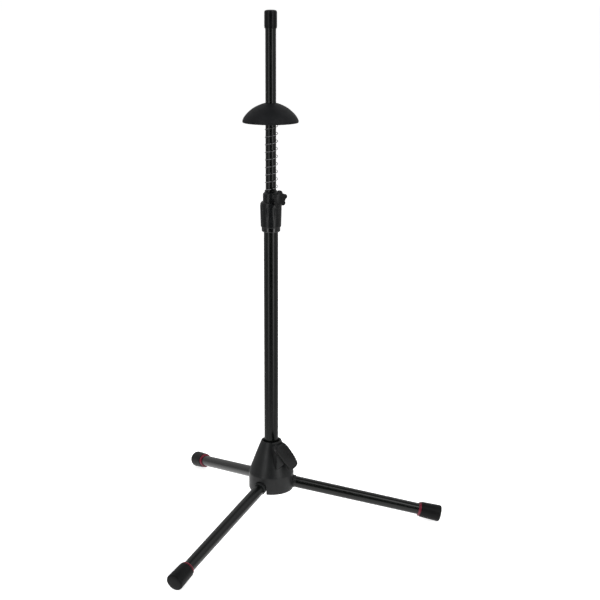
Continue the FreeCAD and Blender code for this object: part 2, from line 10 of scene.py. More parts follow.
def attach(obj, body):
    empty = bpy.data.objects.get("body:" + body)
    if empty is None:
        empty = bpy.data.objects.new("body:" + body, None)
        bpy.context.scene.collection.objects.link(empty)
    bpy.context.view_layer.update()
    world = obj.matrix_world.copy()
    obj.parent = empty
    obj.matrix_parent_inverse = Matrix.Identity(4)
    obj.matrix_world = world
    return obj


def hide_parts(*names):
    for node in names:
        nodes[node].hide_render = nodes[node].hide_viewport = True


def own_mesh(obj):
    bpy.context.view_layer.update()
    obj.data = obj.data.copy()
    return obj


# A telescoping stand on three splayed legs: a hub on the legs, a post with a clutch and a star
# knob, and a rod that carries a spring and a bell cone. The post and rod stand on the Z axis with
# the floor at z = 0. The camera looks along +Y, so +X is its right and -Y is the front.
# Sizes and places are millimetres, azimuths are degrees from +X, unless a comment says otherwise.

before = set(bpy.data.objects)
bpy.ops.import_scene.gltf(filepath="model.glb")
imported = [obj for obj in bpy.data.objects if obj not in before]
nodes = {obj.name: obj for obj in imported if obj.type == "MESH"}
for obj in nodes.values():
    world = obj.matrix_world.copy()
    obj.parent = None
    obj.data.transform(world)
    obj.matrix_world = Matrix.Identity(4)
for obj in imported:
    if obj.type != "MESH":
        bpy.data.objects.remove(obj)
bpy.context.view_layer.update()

scene = bpy.context.scene
MM = 0.001


# ------------------------------------------------------------------ places and angles
def clamp(value):
    return min(1.0, max(0.0, value))


def fold(angle, count=1):
    """The angle measured from the nearest of count even divisions of the circle."""
    step = 2 * pi / count
    return (angle + step / 2) % step - step / 2


def turn(x_axis, y_axis, angle):
    """Two axes turned together in their own plane."""
    return (
        x_axis * cos(angle) + y_axis * sin(angle),
        -x_axis * sin(angle) + y_axis * cos(angle),
    )


class Place:
    """A local frame: points are given in millimetres along its axes and come out in metres."""

    def __init__(self, origin=(0, 0, 0), x=(1, 0, 0), y=(0, 1, 0), z=(0, 0, 1)):
        self.origin = Vector(origin)
        self.x = Vector(x).normalized()
        self.y = Vector(y).normalized()
        self.z = Vector(z).normalized()

    def at(self, x, y, z):
        return (self.origin + self.x * x + self.y * y + self.z * z) * MM


UPRIGHT = Place()


def radial(azimuth, height, spin=0.0):
    """+Z points away from the post, +X is horizontal and +Y up, then turned by spin about +Z."""
    angle = rad(azimuth)
    out = Vector((cos(angle), sin(angle), 0))
    side = Vector((-sin(angle), cos(angle), 0))
    x_axis, y_axis = turn(side, out.cross(side), rad(spin))
    return Place((0, 0, height), x_axis, y_axis, out)


LEGS = {"right": 0.0, "rear": 120.0, "front": 240.0}  # azimuths
LEG_SLOPE = 13.41  # degrees below the horizontal
LEG_MEET = 77.2  # height where the three leg axes meet


def leg_frame(azimuth):
    """+Z runs down the leg from the point where the three leg axes meet, +X is horizontal."""
    angle, slope = rad(azimuth), rad(LEG_SLOPE)
    down = Vector((cos(angle) * cos(slope), sin(angle) * cos(slope), -sin(slope)))
    side = Vector((-sin(angle), cos(angle), 0))
    return Place((0, 0, LEG_MEET), side, down.cross(side), down)


# ------------------------------------------------------------------ outlines
# Outline points are (a, b) or (a, b, corner radius). In turned profiles a is the radius and b is
# the place along the axis.
def rounded(points, closed=False, step=14.0):
    """The outline with every given corner turned into an arc, cut every step degrees or less."""
    out = []
    for i, point in enumerate(points):
        corner = Vector(point[:2])
        if len(point) == 2 or (not closed and i in (0, len(points) - 1)):
            out.append((corner.x, corner.y))
            continue
        back = Vector(points[i - 1][:2]) - corner
        ahead = Vector(points[(i + 1) % len(points)][:2]) - corner
        shorter = min(back.length, ahead.length)
        back.normalize()
        ahead.normalize()
        angle = acos(max(-1.0, min(1.0, back.dot(ahead))))
        if angle > rad(177):
            out.append((corner.x, corner.y))
            continue
        reach = min(point[2] / tan(angle / 2), 0.49 * shorter)
        radius = reach * tan(angle / 2)
        centre = corner + (back + ahead).normalized() * (radius / sin(angle / 2))
        first = corner + back * reach - centre
        last = corner + ahead * reach - centre
        start = atan2(first.y, first.x)
        sweep = fold(atan2(last.y, last.x) - start)
        count = max(2, int(ceil(abs(sweep) / rad(step))))
        for j in range(count + 1):
            at = start + sweep * j / count
            out.append((centre.x + radius * cos(at), centre.y + radius * sin(at)))
    return out


def spline(points, per):
    """A smooth line through the points, with per steps between neighbours."""
    knots = [Vector(point) for point in points]
    knots = [knots[0] * 2 - knots[1]] + knots + [knots[-1] * 2 - knots[-2]]
    out = []
    for before, here, there, beyond in zip(knots, knots[1:], knots[2:], knots[3:]):
        for j in range(per):
            t = j / per
            point = (here * 2) + (there - before) * t
            point += (before * 2 - here * 5 + there * 4 - beyond) * t * t
            point += (here * 3 - before - there * 3 + beyond) * t ** 3
            out.append((point.x / 2, point.y / 2))
    out.append((knots[-2].x, knots[-2].y))
    return out


def tube_profile(r_in, r_out, z0, z1, lip=0.35):
    """A tube wall with rolled ends, with extra rings so bends in the light read evenly."""
    count = int((z1 - z0) / 12.0)
    rings = [(r_out, z0 + (z1 - z0) * i / count) for i in range(1, count)]
    return rounded(
        [(r_in, z0, lip), (r_out, z0, lip)] + rings + [(r_out, z1, lip), (r_in, z1, lip)],
        closed=True,
    )


# ------------------------------------------------------------------ meshes
def shade(mesh, sharp):
    """Smooth shading with edges steeper than sharp degrees left crisp."""
    mesh.polygons.foreach_set("use_smooth", [True] * len(mesh.polygons))
    mesh.set_sharp_from_angle(angle=rad(sharp))


def finish_mesh(name, bm, material, sharp=34.0):
    bmesh.ops.remove_doubles(bm, verts=bm.verts, dist=1e-7)
    bmesh.ops.recalc_face_normals(bm, faces=bm.faces)
    mesh = bpy.data.meshes.new(name)
    bm.to_mesh(mesh)
    bm.free()
    shade(mesh, sharp)
    mesh.materials.append(MATERIALS[material])
    ob = bpy.data.objects.new(name, mesh)
    scene.collection.objects.link(ob)
    return ob


def settle(ob, slot, body, *replaced):
    """Ties the object to a moving body and hides the CAD nodes it replaces. The slot argument is
    not used.
    """
    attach(ob, body)
    if replaced:
        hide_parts(*replaced)
    return ob


def bridge(bm, first, second):
    """Faces between two closed rings, where a ring of one vertex is a point on the axis."""
    if len(first) == 1 and len(second) == 1:
        return
    count = max(len(first), len(second))
    for j in range(count):
        k = (j + 1) % count
        if len(first) == 1:
            bm.faces.new((first[0], second[k], second[j]))
        elif len(second) == 1:
            bm.faces.new((first[j], first[k], second[0]))
        else:
            bm.faces.new((first[j], first[k], second[k], second[j]))


def circle(bm, place, r, z, segs, vary=None):
    """A ring of vertices about the place's +Z. vary(r, z, angle) may change the radius."""
    if r < 1e-6:
        return [bm.verts.new(place.at(0, 0, z))]
    ring = []
    for j in range(segs):
        angle = 2 * pi * j / segs
        radius = vary(r, z, angle) if vary else r
        ring.append(bm.verts.new(place.at(radius * cos(angle), radius * sin(angle), z)))
    return ring


def turned(bm, place, profile, segs, closed, vary=None):
    rings = [circle(bm, place, r, z, segs, vary) for r, z in profile]
    if closed:
        rings.append(rings[0])
    for first, second in zip(rings, rings[1:]):
        bridge(bm, first, second)


def cut_at_floor(bm):
    """Removes what lies below z = 0 and fills the opening."""
    cut = bmesh.ops.bisect_plane(
        bm, geom=bm.verts[:] + bm.edges[:] + bm.faces[:], dist=1e-7,
        plane_co=Vector((0, 0, 0)), plane_no=Vector((0, 0, -1)), clear_outer=True,
    )
    edges = [part for part in cut["geom_cut"] if isinstance(part, bmesh.types.BMEdge)]
    filled = bmesh.ops.contextual_create(bm, geom=edges)
    bmesh.ops.triangulate(bm, faces=[face for face in filled["faces"] if len(face.verts) > 4])


def lathe(name, profile, material, segs=96, place=UPRIGHT, vary=None, on_floor=False):
    bm = bmesh.new()
    turned(bm, place, profile, segs, True, vary)
    bmesh.ops.recalc_face_normals(bm, faces=bm.faces)
    if on_floor:
        cut_at_floor(bm)
    return finish_mesh(name, bm, material)


def plate(outline, z0, z1, edge, place, segments):
    """A flat plate of the given outline between local heights z0 and z1, both rims rounded."""
    bm = bmesh.new()
    low = [bm.verts.new(place.at(x, y, z0)) for x, y in outline]
    high = [bm.verts.new(place.at(x, y, z1)) for x, y in outline]
    bm.faces.new(low[::-1])
    bm.faces.new(high)
    bridge(bm, low, high)
    bmesh.ops.recalc_face_normals(bm, faces=bm.faces)
    ends = [face for face in bm.faces if len(face.verts) == len(outline)]
    rims = list({rim for face in ends for rim in face.edges})
    bmesh.ops.bevel(
        bm, geom=rims, offset=edge * MM, segments=segments, affect="EDGES", profile=0.5
    )
    return bm


# ------------------------------------------------------------------ shader nodes
def grey(value):
    return (value, value, value, 1.0)


def set_inputs(tree, node, inputs):
    """Links each input that is given a socket and sets each that is given a value."""
    for key, value in inputs.items():
        if isinstance(value, bpy.types.NodeSocket):
            tree.links.new(value, node.inputs[key])
        else:
            node.inputs[key].default_value = value


def add_node(tree, kind, inputs=None, **settings):
    node = tree.nodes.new("ShaderNode" + kind)
    for key, value in settings.items():
        setattr(node, key, value)
    set_inputs(tree, node, inputs or {})
    return node


def empty_tree(owner):
    """The emptied node tree of a material or world."""
    owner.use_nodes = True
    owner.node_tree.nodes.clear()
    return owner.node_tree


def noise(tree, vector, scale, detail=3.0, rough=0.55):
    inputs = {"Scale": scale, "Detail": detail, "Roughness": rough, "Vector": vector}
    return add_node(tree, "TexNoise", inputs).outputs["Fac"]


def remap(tree, value, from_min, from_max, to_min, to_max):
    inputs = {"From Min": from_min, "From Max": from_max, "To Min": to_min, "To Max": to_max}
    return add_node(tree, "MapRange", {**inputs, "Value": value}).outputs["Result"]


def mix(tree, factor, a, b):
    inputs = {"A": a, "B": b, "Factor": factor}
    return add_node(tree, "Mix", inputs, data_type="RGBA").outputs["Result"]


def maths(tree, operation, a, b):
    return add_node(tree, "Math", {0: a, 1: b}, operation=operation).outputs[0]


def bump(tree, height, distance, strength=1.0, normal=None):
    inputs = {"Strength": strength, "Distance": distance, "Height": height}
    if normal is not None:
        inputs["Normal"] = normal
    return add_node(tree, "Bump", inputs).outputs["Normal"]


def value_curve(tree, value, steps):
    """A curve of straight runs through (position, value) pairs."""
    node = add_node(tree, "FloatCurve", {"Value": value})
    curve = node.mapping.curves[0]
    curve.points[0].location = steps[0]
    curve.points[1].location = steps[-1]
    for step in steps[1:-1]:
        curve.points.new(*step)
    for point in curve.points:
        point.handle_type = "VECTOR"
    node.mapping.update()
    return node.outputs["Value"]


# ------------------------------------------------------------------ materials
# dark and light are the RGB colours mixed by a cloudy noise, rough is the middle roughness,
# grain and scratch are noise scales, depth is the bump height in metres.
MATERIALS = {}


def new_material(name):
    material = bpy.data.materials.new(name)
    MATERIALS[name] = material
    tree = empty_tree(material)
    output = add_node(tree, "OutputMaterial")
    bsdf = add_node(tree, "BsdfPrincipled")
    tree.links.new(bsdf.outputs["BSDF"], output.inputs["Surface"])
    return tree, bsdf, add_node(tree, "TexCoord").outputs["Object"]


def cloudy(tree, cloud, dark, light, low=0.3, high=0.7):
    return mix(tree, remap(tree, cloud, low, high, 0.0, 1.0), (*dark, 1.0), (*light, 1.0))


def moulded(name, dark, light, rough, grain, depth, sheen=0.0, edge_wear_and_highlight=0.0, specular=0.5):
    """Moulded plastic or rubber: fine grain, cloudy gloss, and convex edges painted pale, partly
    as rubbed wear and partly as a painted highlight.
    """
    tree, bsdf, coord = new_material(name)
    cloud = noise(tree, coord, scale=55.0, detail=4.0)
    fine = noise(tree, coord, grain, detail=2.0, rough=0.6)
    colour = cloudy(tree, cloud, dark, light)
    # Pale convex edges: partly rubbed wear, partly a painted highlight along the rims.
    if edge_wear_and_highlight:
        pointed = add_node(tree, "NewGeometry").outputs["Pointiness"]
        convex = remap(tree, pointed, 0.53, 0.62, 0.0, 1.0)
        patches = remap(tree, noise(tree, coord, scale=420.0), 0.35, 0.7, 0.0, edge_wear_and_highlight)
        pale = (*[min(1.0, channel * 3.2 + 0.01) for channel in light], 1.0)
        colour = mix(tree, maths(tree, "MULTIPLY", convex, patches), colour, pale)
    gloss = noise(tree, coord, scale=160.0, detail=4.0)
    set_inputs(tree, bsdf, {
        "Base Color": colour,
        "Roughness": remap(tree, gloss, 0.3, 0.7, rough - 0.05, rough + 0.06),
        "Normal": bump(tree, fine, depth, normal=bump(tree, cloud, depth * 4)),
        "Coat Roughness": 0.28,
        "Sheen Weight": sheen,
        "Sheen Roughness": 0.5,
        "Specular IOR Level": specular,
    })


def enamel(name, dark, light):
    """Gloss enamel on steel tube: orange peel and tiny dust nibs."""
    tree, bsdf, coord = new_material(name)
    cloud = noise(tree, coord, scale=32.0)
    peel = noise(tree, coord, scale=780.0, detail=1.5, rough=0.5)
    cells = add_node(tree, "TexVoronoi", {"Scale": 260.0, "Vector": coord})
    nibs = remap(tree, cells.outputs["Distance"], 0.03, 0.09, 1.0, 0.0)
    colour = cloudy(tree, cloud, dark, light, low=0.35, high=0.65)
    gloss = noise(tree, coord, scale=210.0, detail=4.0)
    peel_normal = bump(tree, peel, distance=0.000002)
    set_inputs(tree, bsdf, {
        "Base Color": colour,
        "Roughness": remap(tree, gloss, 0.3, 0.7, 0.20, 0.25),
        "Normal": bump(tree, nibs, distance=0.000004, strength=0.5, normal=peel_normal),
        "Specular IOR Level": 0.42,
        "Coat Weight": 0.22,
        "Coat Roughness": 0.12,
    })


def metal(name, dark, light, rough, depth, scratch=900.0, stretch=(1.0, 1.0, 1.0)):
    """Bare or plated metal with streaks and a mottled oxide."""
    tree, bsdf, coord = new_material(name)
    mapping = add_node(tree, "Mapping", {"Scale": stretch, "Vector": coord})
    streak = noise(tree, mapping.outputs["Vector"], scratch, detail=5.0, rough=0.65)
    cloud = noise(tree, coord, scale=240.0)
    set_inputs(tree, bsdf, {
        "Base Color": cloudy(tree, cloud, dark, light),
        "Roughness": remap(tree, streak, 0.3, 0.7, rough - 0.07, rough + 0.1),
        "Normal": bump(tree, streak, depth),
        "Metallic": 1.0,
    })


moulded(
    "hub_plastic", dark=(0.0046, 0.0050, 0.0052), light=(0.0076, 0.0081, 0.0083),
    rough=0.36, grain=2300.0, depth=0.000022, edge_wear_and_highlight=0.25, specular=0.42,
)
# Knob and lever rims painted pale at full strength, a painted highlight along their edges.
moulded(
    "knob_plastic", dark=(0.0020, 0.0022, 0.0023), light=(0.0038, 0.0040, 0.0042),
    rough=0.30, grain=2600.0, depth=0.000014, edge_wear_and_highlight=1.0, specular=0.32,
)
moulded(
    "grip_plastic", dark=(0.0024, 0.0027, 0.0029), light=(0.0044, 0.0048, 0.0051),
    rough=0.24, grain=2600.0, depth=0.000005, edge_wear_and_highlight=0.2, specular=0.42,
)
moulded(
    "trim_gloss", dark=(0.0016, 0.0017, 0.0018), light=(0.0030, 0.0032, 0.0034),
    rough=0.15, grain=2600.0, depth=0.000002, edge_wear_and_highlight=0.2, specular=0.95,
)
moulded(
    "cone_plastic", dark=(0.0038, 0.0041, 0.0046), light=(0.0058, 0.0062, 0.0070),
    rough=0.52, grain=1900.0, depth=0.000016, edge_wear_and_highlight=0.2, specular=0.20,
)
moulded(
    "bush_plastic", dark=(0.035, 0.035, 0.035), light=(0.055, 0.054, 0.052),
    rough=0.42, grain=1800.0, depth=0.000012,
)
enamel("gloss_black_paint", dark=(0.0012, 0.0016, 0.0014), light=(0.0022, 0.0027, 0.0024))
moulded(
    "cap_rubber", dark=(0.0008, 0.0009, 0.0010), light=(0.0017, 0.0018, 0.0020),
    rough=0.30, grain=1500.0, depth=0.000010, specular=0.30,
)
moulded(
    "foot_rubber", dark=(0.0018, 0.0019, 0.0020), light=(0.0036, 0.0037, 0.0039),
    rough=0.42, grain=1500.0, depth=0.000018, sheen=0.005, specular=0.19,
)
moulded(
    "ring_crimson", dark=(0.085, 0.004, 0.013), light=(0.135, 0.008, 0.022),
    rough=0.22, grain=1700.0, depth=0.000006, edge_wear_and_highlight=0.2, specular=0.55,
)
metal(
    "spring_steel", dark=(0.30, 0.30, 0.31), light=(0.42, 0.42, 0.43),
    rough=0.30, depth=0.000004, stretch=(1.0, 1.0, 6.0),
)
metal(
    "plain_steel", dark=(0.36, 0.36, 0.37), light=(0.50, 0.50, 0.50), rough=0.33, depth=0.000006
)
metal(
    "insert_brass", dark=(0.60, 0.42, 0.16), light=(0.72, 0.54, 0.24), rough=0.34, depth=0.000006
)

# ------------------------------------------------------------------ rod and post
ROD_R = 8.0
ROD_TOP = 802.0
POST_R = 11.0
COIL_BOTTOM = 541.0
COIL_TOP = 651.0
WASHER_BOTTOM = 539.6
WASHER_R = 9.6

settle(
    lathe("upper_rod_tube", tube_profile(6.9, ROD_R, 238.0, ROD_TOP), "gloss_black_paint"),
    "gloss_black_paint", "rod", "upper_rod",
)
settle(
    lathe("post_tube", tube_profile(9.9, POST_R, 65.8, 518.5), "gloss_black_paint", 112),
    "gloss_black_paint", "post", "lower_tube",
)

# Rubber cap: a thin bead at its mouth, straight sides and a softly domed end.
cap = rounded(
    [
        (ROD_R, 780.4), (8.85, 780.4, 0.25), (9.3, 780.9, 0.4), (9.2, 782.2, 0.6),
        (9.45, 783.6, 1.2), (9.45, 803.6, 2.2), (8.7, 805.9, 1.6), (5.0, 806.95, 4.0),
        (0.0, 807.1), (0.0, ROD_TOP), (ROD_R, ROD_TOP),
    ],
    step=8,
)
settle(lathe("rod_cap", cap, "cap_rubber"), "cap_rubber", "rod", "rod_end_cap")

# Stop washer under the coil.
washer = rounded([
    (ROD_R, WASHER_BOTTOM), (WASHER_R, WASHER_BOTTOM, 0.3),
    (WASHER_R, COIL_BOTTOM, 0.3), (ROD_R, COIL_BOTTOM),
])
settle(
    lathe("coil_washer", washer, "gloss_black_paint", 80),
    "gloss_black_paint", "rod", "spring_stop",
)

# ------------------------------------------------------------------ bell cone
# A domed shell with a rolled rim, from the rim's underside over the top, down the centre sleeve
# and back out along the inside.
dome = (
    [(38.9, 643.5), (40.6, 643.5)]
    + rounded(
        [(40.6, 643.5), (41.9, 643.5, 1.1), (41.75, 646.8, 1.6), (40.15, 650.1)], step=10
    )[1:-1]
    + spline(
        [
            (40.1, 650.2), (38.2, 653.1), (35.8, 656.1), (32.8, 659.0), (29.4, 662.0),
            (25.4, 665.0), (20.2, 667.9), (14.6, 670.4), (11.0, 671.6), (9.2, 672.1),
        ],
        4,
    )
    + [
        (8.75, 672.2), (8.4, 671.9), (8.4, 669.5), (10.6, 669.5),
        (10.6, 651.5), (11.2, 651.5), (11.2, 645.5),
    ]
    + rounded(
        [(11.2, 645.5), (13.4, 645.5, 0.5), (13.4, 665.5, 1.4), (18.6, 664.1)], step=18
    )[1:-1]
    + spline(
        [(18.6, 664.1), (24.6, 660.5), (30.2, 655.9), (34.8, 650.9), (37.2, 646.9), (38.9, 643.5)],
        3,
    )[:-1]
)


def leaning(r, z, angle):
    """Swells the dome a little and shifts it towards -X, fading out towards the sleeve."""
    return r + (0.25 - 0.4 * cos(angle)) * clamp((r - 14.0) / 14.0)


settle(
    lathe("bell_cone_shell", dome, "cone_plastic", 160, vary=leaning),
    "cone_plastic", "cone", "bell_cone",
)

# ------------------------------------------------------------------ clutch
NECK_R = 12.65
GRIP_BOTTOM = 484.9
GRIP_TOP = 524.2
TAPER_BOTTOM = 486.1
TAPER_BOTTOM_R = 15.65
TAPER_LENGTH = 30.4  # the grip gains 1 mm of radius over this length
TAPER_RINGS = (489, 493, 497, 501, 505, 509, 512, 514, 515.2, 515.8, 516.2)
GRIP_R = 16.65
FLUTES = 10
FLUTE_R = 7.0
FLUTE_AXIS_R = GRIP_R + 6.35  # from the post's axis to a flute's axis
FLUTE_TOP = 517.3
FLUTE_FADE = 1.9  # length over which a flute runs out below its top
FLUTED_FROM_R = 15.2
TRIM_BOTTOM = 478.2
TRIM_R = 14.3
KNOB_AZIMUTH = -56.7
KNOB_HEIGHT = 532.0

neck = rounded(
    [
        (POST_R, 485.9), (NECK_R, 485.9), (NECK_R, 519.9), (12.25, 519.9), (12.25, 535.8, 0.8),
        (11.75, 536.6, 0.8), (9.5, 539.0, 0.4), (8.8, 539.0, 0.2), (8.06, 538.2, 0.2),
        (8.06, 517.5), (POST_R, 517.5),
    ],
    step=12,
)
settle(lathe("clutch_neck", neck, "grip_plastic"), "grip_plastic", "post", "clutch_collar")

# Round boss on the neck behind the star knob.
boss = rounded(
    [(0.0, 9.4), (5.6, 9.4), (5.6, 16.6, 0.6), (3.9, 16.6), (3.9, 16.2), (0.0, 16.2)], step=20
)
settle(
    lathe("clutch_knob_boss", boss, "grip_plastic", 48, radial(KNOB_AZIMUTH, KNOB_HEIGHT)),
    "grip_plastic", "post",
)


def fluted(r, z, angle):
    """Scoops round flutes out of the grip's side."""
    if r < FLUTED_FROM_R:
        return r
    from_flute = fold(angle, FLUTES)
    side = FLUTE_AXIS_R * sin(from_flute)
    if abs(side) >= FLUTE_R:
        return r
    scooped = FLUTE_AXIS_R * cos(from_flute) - sqrt(FLUTE_R * FLUTE_R - side * side)
    return r - max(0.0, r - scooped) * clamp((FLUTE_TOP - z) / FLUTE_FADE)


grip = rounded(
    [(NECK_R, GRIP_BOTTOM), (14.65, GRIP_BOTTOM, 0.5), (TAPER_BOTTOM_R, TAPER_BOTTOM, 0.7)]
    + [(TAPER_BOTTOM_R + (z - TAPER_BOTTOM) / TAPER_LENGTH, z) for z in TAPER_RINGS]
    + [
        (GRIP_R, 516.6), (16.62, 517.0), (16.58, 517.5), (16.52, 518.2), (16.15, 521.1, 2.0),
        (15.35, 523.1, 1.2), (13.85, GRIP_TOP, 0.6), (NECK_R, GRIP_TOP),
    ],
    step=10,
)
settle(
    lathe("clutch_sleeve", grip, "grip_plastic", 240, vary=fluted),
    "grip_plastic", "post", "clutch_grip",
)

trim = rounded(
    [
        (POST_R, TRIM_BOTTOM), (13.4, TRIM_BOTTOM, 0.3), (TRIM_R, 479.1, 0.7),
        (TRIM_R, GRIP_BOTTOM, 0.2), (POST_R, GRIP_BOTTOM),
    ],
    step=12,
)
settle(lathe("clutch_trim", trim, "trim_gloss"), "grip_plastic", "post", "clutch_ring")

# ------------------------------------------------------------------ star knob
# Five soft lobes round a waisted stem, with a domed face. Heights are distances from the post.
KNOB_PLACE = radial(KNOB_AZIMUTH, KNOB_HEIGHT, 18.0)
KNOB_SEGS = 200
LOBES = 5
LOBE_AXIS_R = 8.7
LOBE_R = 3.7
CORE_R = 9.1
LOBE_BLEND = 2.2  # larger values make the meeting of lobe and core crisper
HEAD_BACK = 21.5
BACK_ROUND = 0.9
FACE_ROUND = 1.1
FACE_ROUND_START = 26.4
FACE = FACE_ROUND_START + FACE_ROUND
DOME_RISE = 1.25
DOME_R = 8.3
DOME_TIP = 28.78
KNOB_STEM = [(7.6, HEAD_BACK), (5.6, 21.1, 0.5), (5.05, 17.6, 0.4), (2.6, 17.6), (2.6, 19.4)]


def star_radius(angle):
    from_lobe = fold(angle, LOBES)
    side = LOBE_AXIS_R * sin(from_lobe)
    if abs(side) >= LOBE_R:
        return CORE_R
    lobe = LOBE_AXIS_R * cos(from_lobe) + sqrt(LOBE_R ** 2 - side * side)
    return log(exp(LOBE_BLEND * CORE_R) + exp(LOBE_BLEND * lobe)) / LOBE_BLEND


def star_outline(inset):
    points = []
    for i in range(KNOB_SEGS):
        angle = 2 * pi * i / KNOB_SEGS
        radius = star_radius(angle)
        points.append(Vector((radius * cos(angle), radius * sin(angle))))
    out = []
    for i, point in enumerate(points):
        along = (points[(i + 1) % KNOB_SEGS] - points[i - 1]).normalized()
        out.append(point - Vector((along.y, -along.x)) * inset)
    return out


def star_levels():
    """(inset, height) of the head's side from back to face."""
    levels = []
    for i in range(5):
        angle = rad(90 * i / 4)
        levels.append((BACK_ROUND * (1 - sin(angle)), HEAD_BACK + BACK_ROUND * (1 - cos(angle))))
    levels += [(0.0, z) for z in (23.4, 24.8, 26.0)]
    for i in range(6):
        angle = rad(90 * i / 5)
        levels.append((FACE_ROUND * (1 - cos(angle)), FACE_ROUND_START + FACE_ROUND * sin(angle)))
    return levels


def face_point(point, scale):
    """A face outline point drawn inwards, from the star near the rim to a circle further in."""
    if scale > 0.8:
        drawn = point * scale
    else:
        radius = point.length
        drawn = point.normalized() * min(radius * scale, min(radius, 8.0) * scale / 0.76)
    out = min(1.0, drawn.length / DOME_R)
    return KNOB_PLACE.at(drawn.x, drawn.y, FACE + DOME_RISE * (1 - out ** 2.4))


def star_knob():
    bm = bmesh.new()
    rows = [
        [bm.verts.new(KNOB_PLACE.at(point.x, point.y, z)) for point in star_outline(inset)]
        for inset, z in star_levels()
    ]
    for first, second in zip(rows, rows[1:]):
        bridge(bm, first, second)
    face_outline = star_outline(FACE_ROUND)
    previous = rows[-1]
    for scale in (0.94, 0.86, 0.76, 0.62, 0.45, 0.25, 0.1):
        ring = [bm.verts.new(face_point(point, scale)) for point in face_outline]
        bridge(bm, previous, ring)
        previous = ring
    bridge(bm, previous, [bm.verts.new(KNOB_PLACE.at(0, 0, DOME_TIP))])
    # back of the head and the stem
    previous = rows[0]
    for r, z in rounded(KNOB_STEM, step=18):
        ring = circle(bm, KNOB_PLACE, r, z, KNOB_SEGS)
        bridge(bm, ring, previous)
        previous = ring
    bm.faces.new(previous)
    return finish_mesh("star_knob_head", bm, "knob_plastic", 40)


settle(star_knob(), "knob_plastic", "knob", "star_knob")

# ------------------------------------------------------------------ spring
COIL_START = 180.0  # azimuth of the wire's lower end
COIL_PITCH = 11.4
COIL_MEAN_R = 9.6
WIRE_R = 0.5
WIRE_SIDES = 14
COIL_SHIFT = 0.8  # towards +X
STEPS_PER_TURN = 48


def coil():
    bm = bmesh.new()
    z0, z1 = COIL_BOTTOM + WIRE_R, COIL_TOP - WIRE_R
    turns = (z1 - z0) / COIL_PITCH
    count = int(round(turns * STEPS_PER_TURN))
    lead = atan2(COIL_PITCH, 2 * pi * COIL_MEAN_R)
    rows = []
    for i in range(count + 1):
        t = i / count
        angle = rad(COIL_START) + turns * 2 * pi * t
        z = z0 + (z1 - z0) * t
        centre = Vector(
            (COIL_SHIFT + COIL_MEAN_R * cos(angle), COIL_MEAN_R * sin(angle), z)
        )
        out = Vector((cos(angle), sin(angle), 0))
        across = Vector((sin(angle) * sin(lead), -cos(angle) * sin(lead), cos(lead)))
        row = []
        for j in range(WIRE_SIDES):
            around = 2 * pi * j / WIRE_SIDES
            point = centre + out * WIRE_R * cos(around) + across * WIRE_R * sin(around)
            row.append(bm.verts.new(point * MM))
        rows.append(row)
    for first, second in zip(rows, rows[1:]):
        bridge(bm, first, second)
    bm.faces.new(rows[0][::-1])
    bm.faces.new(rows[-1])
    return finish_mesh("cone_coil", bm, "spring_steel", 60)


spring = settle(coil(), "spring_steel", "rod", "cone_spring")

# ------------------------------------------------------------------ hub shell
# A skirt that narrows to a cone, with an arch over each leg, a flat-faced boss between the front
# and right legs and a bore for the post. Heights are above HUB_Z.
HUB_Z = 60.9
SKIRT_R = 35.8
CAVITY_R = 33.3
SLEEVE_R = 15.6
BORE_R = 12.6
ARCH_R = 10.55
ARCH_CENTRE = 8.08
ARCH_ROUND = 0.8  # rounding of the arch's outer edge
ARCH_SEGS = 28
WALL_SEGS = 34  # between two arches
BOSS_WALL_SEGS = 150  # the same on the stretch that carries the boss
WALL_TOP = 25.0
WALL_STEPS = 7
SKIRT_Z = [-1.5, -1.1, -0.7, -0.3, 1.3, 3.4, 5.7]  # rows below the arch centres

HUB_PROFILE = rounded(
    [
        (34.9, -1.5), (SKIRT_R, -0.3, 0.6), (SKIRT_R, 25.9, 4.5), (32.7, 35.2, 4.0),
        (29.4, 43.9, 4.0), (26.2, 52.5, 4.0), (22.9, 61.1, 4.0), (19.6, 69.6, 4.0),
        (16.5, 77.3, 3.0), (16.0, 78.5),
    ],
    step=3,
)
# From the rim inwards, down the bore, up round the sleeve and down the cavity.
HUB_INSIDE = [
    (15.85, 78.8), (15.6, 79.0), (15.3, 79.1), (15.0, 79.1), (14.72, 79.0), (14.45, 78.75),
    (12.75, 76.6), (BORE_R, 76.1), (BORE_R, 60.0), (BORE_R, 30.0), (BORE_R, 1.4), (13.2, 0.8),
    (15.0, 0.8), (SLEEVE_R, 1.4), (SLEEVE_R, 30.0), (SLEEVE_R, 50.1), (24.0, 50.1), (28.6, 38.3),
    (CAVITY_R, 26.1), (CAVITY_R, WALL_TOP),
]

BOSS_AZIMUTH = -60.0
BOSS_FACE = 32.5  # distance of the flat face from the post's axis
BOSS_FILLET = 1.9
# The boss's outline, counter-clockwise seen from outside: (side, height).
BOSS = [
    (-8.2, 72.6), (-9.4, 40.6), (-8.0, 39.8), (6.0, 47.0),
    (9.0, 50.0), (9.4, 72.6), (7.0, 74.8), (-5.8, 74.8),
]
BOSS_EDGES = list(zip(BOSS, BOSS[1:] + BOSS[:1]))


def upper_rows():
    """Heights of the rows above the wall, close together over the boss."""
    rows = [26.0, 27.0, 28.2, 30.0, 32.0, 34.0, 36.0, 37.5, 38.6]
    z = 39.2
    while z < 76.6:
        rows.append(round(z, 3))
        z += 0.55
    return rows + [77.3, 78.5]


UPPER_Z = upper_rows()


def hub_radius(z):
    return float(np.interp(z, [p[1] for p in HUB_PROFILE], [p[0] for p in HUB_PROFILE]))


def boss_span(z):
    """The boss outline's reach to either side at a height."""
    sides = [
        u0 + (u1 - u0) * (z - z0) / (z1 - z0)
        for (u0, z0), (u1, z1) in BOSS_EDGES
        if (z0 - z) * (z1 - z) <= 0
    ]
    return min(sides), max(sides)


def boss_inside(side, z):
    """Distance inside the boss outline, negative outside."""
    return min(
        ((u1 - u0) * (z - z0) - (z1 - z0) * (side - u0)) / hypot(u1 - u0, z1 - z0)
        for (u0, z0), (u1, z1) in BOSS_EDGES
    )


